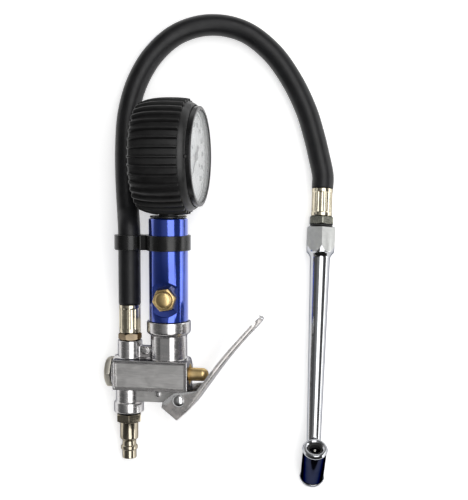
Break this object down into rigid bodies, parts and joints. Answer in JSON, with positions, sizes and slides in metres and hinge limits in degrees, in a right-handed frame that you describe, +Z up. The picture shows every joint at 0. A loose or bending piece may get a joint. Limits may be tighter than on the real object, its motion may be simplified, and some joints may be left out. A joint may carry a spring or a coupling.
{
  "type": "tyre inflator with gauge",
  "caption": "Trigger tyre inflator with a booted dial gauge, a blue handle, a side lever, a push-in inlet nipple and a rubber hose to a twin-ended chuck.",
  "frame": {"origin": "centre of the underside of the box round everything but the hose and its two ferrules, on the table that the object lies on", "axes": "+X to the right of the picture, from the handle to the chuck; +Y from the inlet nipple towards the gauge; +Z up from the table"},
  "size_m": [0.1596, 0.331, 0.0805],
  "materials": {
    "black_metal": "black gloss",
    "black_paint": "black satin",
    "black_plastic": "smooth moulded plastic",
    "blue_anodised": "blue gloss anodised",
    "boot_rubber": "matt moulded rubber",
    "brass": "bright turned brass",
    "cast_metal": "satin plated die casting",
    "chrome": "polished chrome plate",
    "clear_lens": "clear",
    "dial_white": "white print ground",
    "hose_rubber": "smooth satin rubber",
    "pale_brass": "pale bright plated brass",
    "pale_nickel": "nickel plated brass",
    "plated_steel": "zinc plated pressed steel",
    "seal_rubber": "matt rubber",
    "spring_steel": "drawn wire"
  },
  "bodies": {
    "inflator": {"bezel": "black_metal", "bleed_body": "brass", "bleed_spring": "spring_steel", "body_ferrule": "pale_brass", "body_hose_fitting": "pale_nickel", "bourdon_tube": "brass", "chuck_ferrule": "pale_brass", "chuck_handle": "chrome", "chuck_head": "chrome", "chuck_hose_fitting": "pale_nickel", "chuck_ring_lower": "chrome", "chuck_ring_upper": "chrome", "chuck_seal_lower": "seal_rubber", "chuck_seal_upper": "seal_rubber", "chuck_seat": "brass", "chuck_washer": "seal_rubber", "dial": "dial_white", "dial_screw_1": "plated_steel", "dial_screw_2": "plated_steel", "end_plug": "pale_nickel", "end_plug_seal": "seal_rubber", "gauge_adaptor": "black_metal", "gauge_boot": "boot_rubber", "gauge_case": "black_metal", "gauge_seal": "seal_rubber", "gauge_socket": "brass", "gland_seal": "seal_rubber", "hairspring": "spring_steel", "handle_seal": "seal_rubber", "handle_tube": "blue_anodised", "hose": "hose_rubber", "hose_clip": "black_plastic", "inlet_nipple": "pale_nickel", "inlet_seal": "seal_rubber", "lens": "clear_lens", "lens_gasket": "seal_rubber", "lever_pin": "plated_steel", "movement_back_plate": "brass", "movement_front_plate": "brass", "movement_screw_1": "plated_steel", "movement_screw_2": "plated_steel", "pin_spring_lower": "spring_steel", "pin_spring_upper": "spring_steel", "plunger_gland": "brass", "valve_body": "cast_metal", "valve_spring": "spring_steel"},
    "lever": {"lever": "plated_steel"},
    "plunger": {"plunger": "brass", "poppet": "brass", "poppet_seal": "seal_rubber"},
    "release_button": {"bleed_button": "brass", "bleed_seal": "seal_rubber", "bleed_retainer": "brass"},
    "sector": {"sector_gear": "brass"},
    "link": {"link": "plated_steel"},
    "pointer": {"pointer": "black_paint", "pinion_arbor": "brass"},
    "chuck_pin": {"chuck_pin": "plated_steel"}
  },
  "joints": [
    {"name": "lever_hinge", "type": "hinge", "parent": "inflator", "child": "lever", "pos_m": [-0.02497, -0.0691, 0.01892], "axis": [-0.1822, -0.1367, 0.9737], "range_deg": [0, 8], "stiffness_Nm_per_rad": 1.8, "springref_deg": -2.86},
    {"name": "plunger_slide", "type": "slide", "parent": "inflator", "child": "plunger", "axis": [-0.9833, 0.0253, -0.1805], "range_m": [0, 0.0036], "deforming": ["valve_spring"]},
    {"name": "release_slide", "type": "slide", "parent": "inflator", "child": "release_button", "axis": [0.1822, 0.1367, -0.9737], "range_m": [0, 0.0012], "stiffness_N_per_m": 800, "springref_m": -0.001, "deforming": ["bleed_spring"]},
    {"name": "sector_hinge", "type": "hinge", "parent": "inflator", "child": "sector", "pos_m": [-0.03239, 0.08329, 0.02477], "axis": [0.9833, -0.0253, 0.1805], "range_deg": [0, 33.75], "stiffness_Nm_per_rad": 0.02, "springref_deg": -2.86, "deforming": ["bourdon_tube"]},
    {"name": "link_hinge", "type": "hinge", "parent": "sector", "child": "link", "pos_m": [-0.03171, 0.07792, 0.02033], "axis": [0.9833, -0.0253, 0.1805], "range_deg": [-33.75, 0]},
    {"name": "pointer_hinge", "type": "hinge", "parent": "inflator", "child": "pointer", "pos_m": [-0.0349, 0.09286, 0.0398], "axis": [-0.9833, 0.0253, -0.1805], "range_deg": [0, 270], "deforming": ["hairspring"]},
    {"name": "chuck_pin_slide", "type": "slide", "parent": "inflator", "child": "chuck_pin", "axis": [0.0301, 0.7485, 0.6625], "range_m": [-0.0012, 0.0012], "stiffness_N_per_m": 500, "deforming": ["pin_spring_upper", "pin_spring_lower"]}
  ],
  "couplings": [
    {"joint": "plunger_slide", "follows": "lever_hinge", "m_per_rad": 0.0252},
    {"joint": "link_hinge", "follows": "sector_hinge", "ratio": -1},
    {"joint": "pointer_hinge", "follows": "sector_hinge", "ratio": 8}
  ]
}
